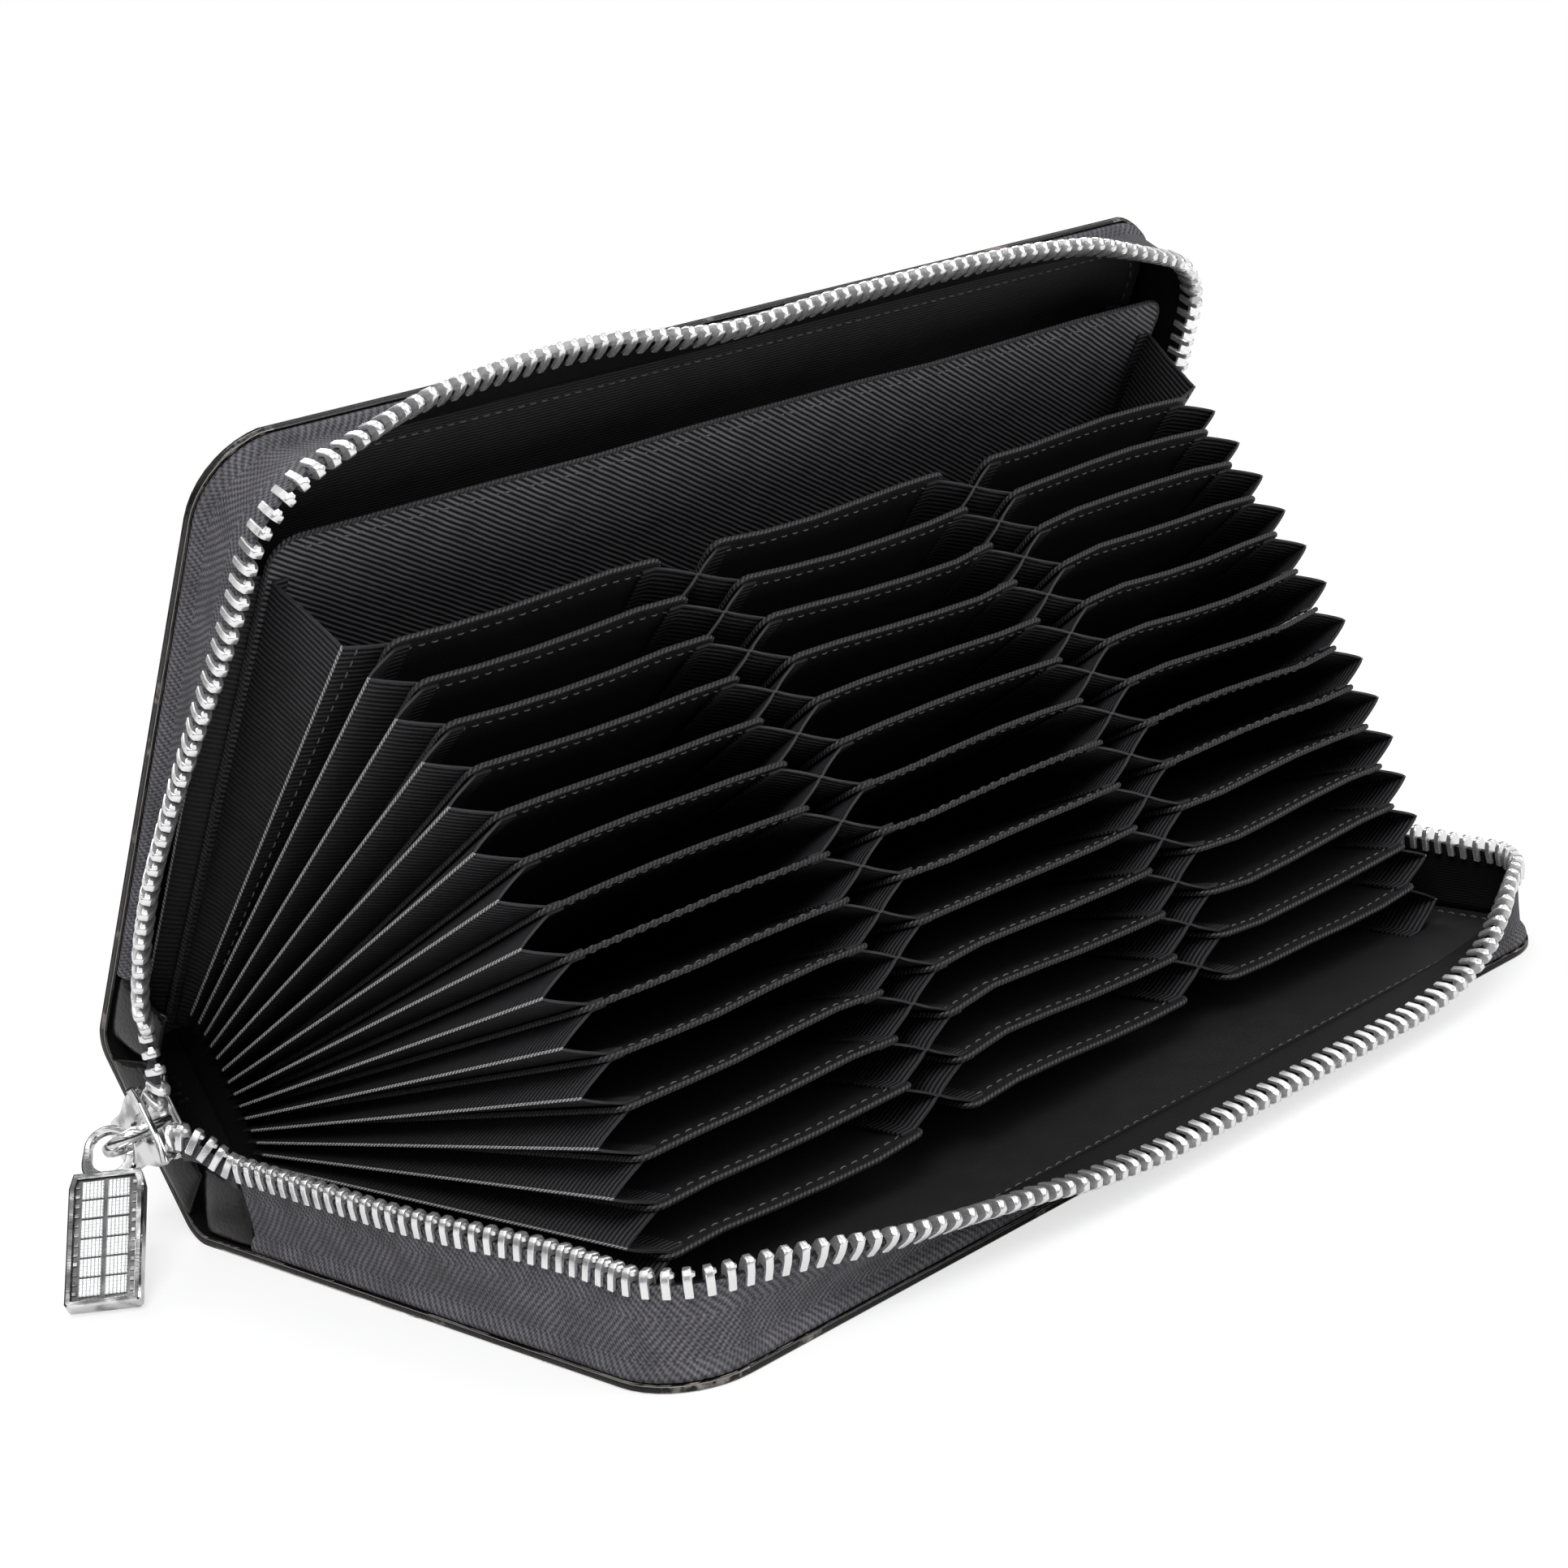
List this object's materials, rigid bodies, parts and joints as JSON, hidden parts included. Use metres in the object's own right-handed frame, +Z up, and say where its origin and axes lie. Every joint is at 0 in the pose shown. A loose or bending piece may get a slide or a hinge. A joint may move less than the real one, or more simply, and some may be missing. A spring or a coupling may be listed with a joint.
{
  "type": "travel document wallet",
  "caption": "Zip-around travel document wallet lying half open on its front cover, with a fan of card pockets, large rear and front pockets and a metal zip.",
  "frame": {"origin": "centre of the front cover's outer face, which lies on the table", "axes": "+X along the spine from the slider's end, +Y from the front cover's free edge towards the spine, +Z up"},
  "size_m": [0.2336, 0.134, 0.1267],
  "materials": {
    "leather": "gloss",
    "board": "matte",
    "lining": "matte",
    "grosgrain": "ribbed",
    "tape": "woven",
    "metal": "polished"
  },
  "bodies": {
    "front_cover": {"front_cover": "leather", "front_board": "board", "front_lining": "lining", "front_zip_tape": "tape", "front_zip_teeth": "metal", "front_top_stop": "metal", "front_end_wrap_left": "leather", "front_end_wrap_right": "leather", "front_folds": "grosgrain"},
    "spine": {"spine": "leather", "pocket_base": "lining", "spine_end_left": "leather", "spine_end_right": "leather", "slider": "metal", "bottom_stop": "metal", "front_zip_end": "metal", "rear_zip_end": "metal"},
    "rear_cover": {"rear_cover": "leather", "rear_board": "board", "rear_lining": "lining", "rear_zip_tape": "tape", "rear_zip_teeth": "metal", "rear_top_stop": "metal", "rear_end_wrap_left": "leather", "rear_end_wrap_right": "leather"},
    "divider": {"divider": "grosgrain", "cash_folds": "grosgrain", "phone_folds": "grosgrain"},
    "leaf_01": {"leaf_01": "lining", "card_folds_01": "grosgrain"},
    "leaf_02": {"leaf_02": "lining", "card_folds_02": "grosgrain"},
    "leaf_03": {"leaf_03": "lining", "card_folds_03": "grosgrain"},
    "leaf_04": {"leaf_04": "lining", "card_folds_04": "grosgrain"},
    "leaf_05": {"leaf_05": "lining", "card_folds_05": "grosgrain"},
    "leaf_06": {"leaf_06": "lining", "card_folds_06": "grosgrain"},
    "leaf_07": {"leaf_07": "lining", "card_folds_07": "grosgrain"},
    "leaf_08": {"leaf_08": "lining", "card_folds_08": "grosgrain"},
    "leaf_09": {"leaf_09": "lining", "card_folds_09": "grosgrain"},
    "leaf_10": {"leaf_10": "lining", "card_folds_10": "grosgrain"},
    "leaf_11": {"leaf_11": "lining", "card_folds_11": "grosgrain"},
    "leaf_12": {"leaf_12": "lining", "card_folds_12": "grosgrain"},
    "leaf_13": {"leaf_13": "lining", "card_folds_13": "grosgrain"},
    "leaf_14": {"leaf_14": "lining"},
    "pull_tab": {"pull_tab": "metal"}
  },
  "joints": [
    {"name": "spine_hinge", "type": "hinge", "parent": "front_cover", "child": "spine", "pos_m": [0, 0.053, 0.0006], "axis": [1, 0, 0], "range_deg": [0, 30.5], "deforming": ["front_folds", "front_zip_end", "rear_zip_end"]},
    {"name": "rear_cover_hinge", "type": "hinge", "parent": "spine", "child": "rear_cover", "pos_m": [0, 0.06975, 0.02903], "axis": [1, 0, 0], "range_deg": [0, 30.5]},
    {"name": "divider_hinge", "type": "hinge", "parent": "spine", "child": "divider", "pos_m": [0, 0.06113, 0.03017], "axis": [1, 0, 0], "range_deg": [0, 28], "deforming": ["cash_folds", "phone_folds"]},
    {"name": "leaf_01_hinge", "type": "hinge", "parent": "spine", "child": "leaf_01", "pos_m": [0, 0.06026, 0.02868], "axis": [1, 0, 0], "range_deg": [0, 17.8], "deforming": ["card_folds_01"]},
    {"name": "leaf_02_hinge", "type": "hinge", "parent": "spine", "child": "leaf_02", "pos_m": [0, 0.05937, 0.02717], "axis": [1, 0, 0], "range_deg": [0, 14.19], "deforming": ["card_folds_02"]},
    {"name": "leaf_03_hinge", "type": "hinge", "parent": "spine", "child": "leaf_03", "pos_m": [0, 0.05848, 0.02566], "axis": [1, 0, 0], "range_deg": [0, 10.58], "deforming": ["card_folds_03"]},
    {"name": "leaf_04_hinge", "type": "hinge", "parent": "spine", "child": "leaf_04", "pos_m": [0, 0.05759, 0.02415], "axis": [1, 0, 0], "range_deg": [0, 6.98], "deforming": ["card_folds_04"]},
    {"name": "leaf_05_hinge", "type": "hinge", "parent": "spine", "child": "leaf_05", "pos_m": [0, 0.0567, 0.02265], "axis": [1, 0, 0], "range_deg": [0, 3.37], "deforming": ["card_folds_05"]},
    {"name": "leaf_06_hinge", "type": "hinge", "parent": "spine", "child": "leaf_06", "pos_m": [0, 0.05581, 0.02114], "axis": [1, 0, 0], "range_deg": [-0.2385, 0], "deforming": ["card_folds_06"]},
    {"name": "leaf_07_hinge", "type": "hinge", "parent": "spine", "child": "leaf_07", "pos_m": [0, 0.05493, 0.01963], "axis": [1, 0, 0], "range_deg": [-3.85, 0], "deforming": ["card_folds_07"]},
    {"name": "leaf_08_hinge", "type": "hinge", "parent": "spine", "child": "leaf_08", "pos_m": [0, 0.05404, 0.01812], "axis": [1, 0, 0], "range_deg": [-7.45, 0], "deforming": ["card_folds_08"]},
    {"name": "leaf_09_hinge", "type": "hinge", "parent": "spine", "child": "leaf_09", "pos_m": [0, 0.05315, 0.01662], "axis": [1, 0, 0], "range_deg": [-11.06, 0], "deforming": ["card_folds_09"]},
    {"name": "leaf_10_hinge", "type": "hinge", "parent": "spine", "child": "leaf_10", "pos_m": [0, 0.05226, 0.01511], "axis": [1, 0, 0], "range_deg": [-14.67, 0], "deforming": ["card_folds_10"]},
    {"name": "leaf_11_hinge", "type": "hinge", "parent": "spine", "child": "leaf_11", "pos_m": [0, 0.05137, 0.0136], "axis": [1, 0, 0], "range_deg": [-18.28, 0], "deforming": ["card_folds_11"]},
    {"name": "leaf_12_hinge", "type": "hinge", "parent": "spine", "child": "leaf_12", "pos_m": [0, 0.05048, 0.01209], "axis": [1, 0, 0], "range_deg": [-21.88, 0], "deforming": ["card_folds_12"]},
    {"name": "leaf_13_hinge", "type": "hinge", "parent": "spine", "child": "leaf_13", "pos_m": [0, 0.0496, 0.01058], "axis": [1, 0, 0], "range_deg": [-25.49, 0], "deforming": ["card_folds_13"]},
    {"name": "leaf_14_hinge", "type": "hinge", "parent": "spine", "child": "leaf_14", "pos_m": [0, 0.04871, 0.00908], "axis": [1, 0, 0], "range_deg": [-29.1, 0]},
    {"name": "pull_hinge", "type": "hinge", "parent": "spine", "child": "pull_tab", "pos_m": [-0.1108, 0.05607, 0.01782], "axis": [-0.7071, 0.7071, 0], "range_deg": [0, 30]}
  ],
  "couplings": [
    {"joint": "rear_cover_hinge", "follows": "spine_hinge", "ratio": 1},
    {"joint": "divider_hinge", "follows": "spine_hinge", "ratio": 0.91803},
    {"joint": "leaf_01_hinge", "follows": "spine_hinge", "ratio": 0.58361},
    {"joint": "leaf_02_hinge", "follows": "spine_hinge", "ratio": 0.46532},
    {"joint": "leaf_03_hinge", "follows": "spine_hinge", "ratio": 0.34704},
    {"joint": "leaf_04_hinge", "follows": "spine_hinge", "ratio": 0.22875},
    {"joint": "leaf_05_hinge", "follows": "spine_hinge", "ratio": 0.11047},
    {"joint": "leaf_06_hinge", "follows": "spine_hinge", "ratio": -0.00782},
    {"joint": "leaf_07_hinge", "follows": "spine_hinge", "ratio": -0.1261},
    {"joint": "leaf_08_hinge", "follows": "spine_hinge", "ratio": -0.24439},
    {"joint": "leaf_09_hinge", "follows": "spine_hinge", "ratio": -0.36267},
    {"joint": "leaf_10_hinge", "follows": "spine_hinge", "ratio": -0.48096},
    {"joint": "leaf_11_hinge", "follows": "spine_hinge", "ratio": -0.59924},
    {"joint": "leaf_12_hinge", "follows": "spine_hinge", "ratio": -0.71753},
    {"joint": "leaf_13_hinge", "follows": "spine_hinge", "ratio": -0.83581},
    {"joint": "leaf_14_hinge", "follows": "spine_hinge", "ratio": -0.9541}
  ]
}
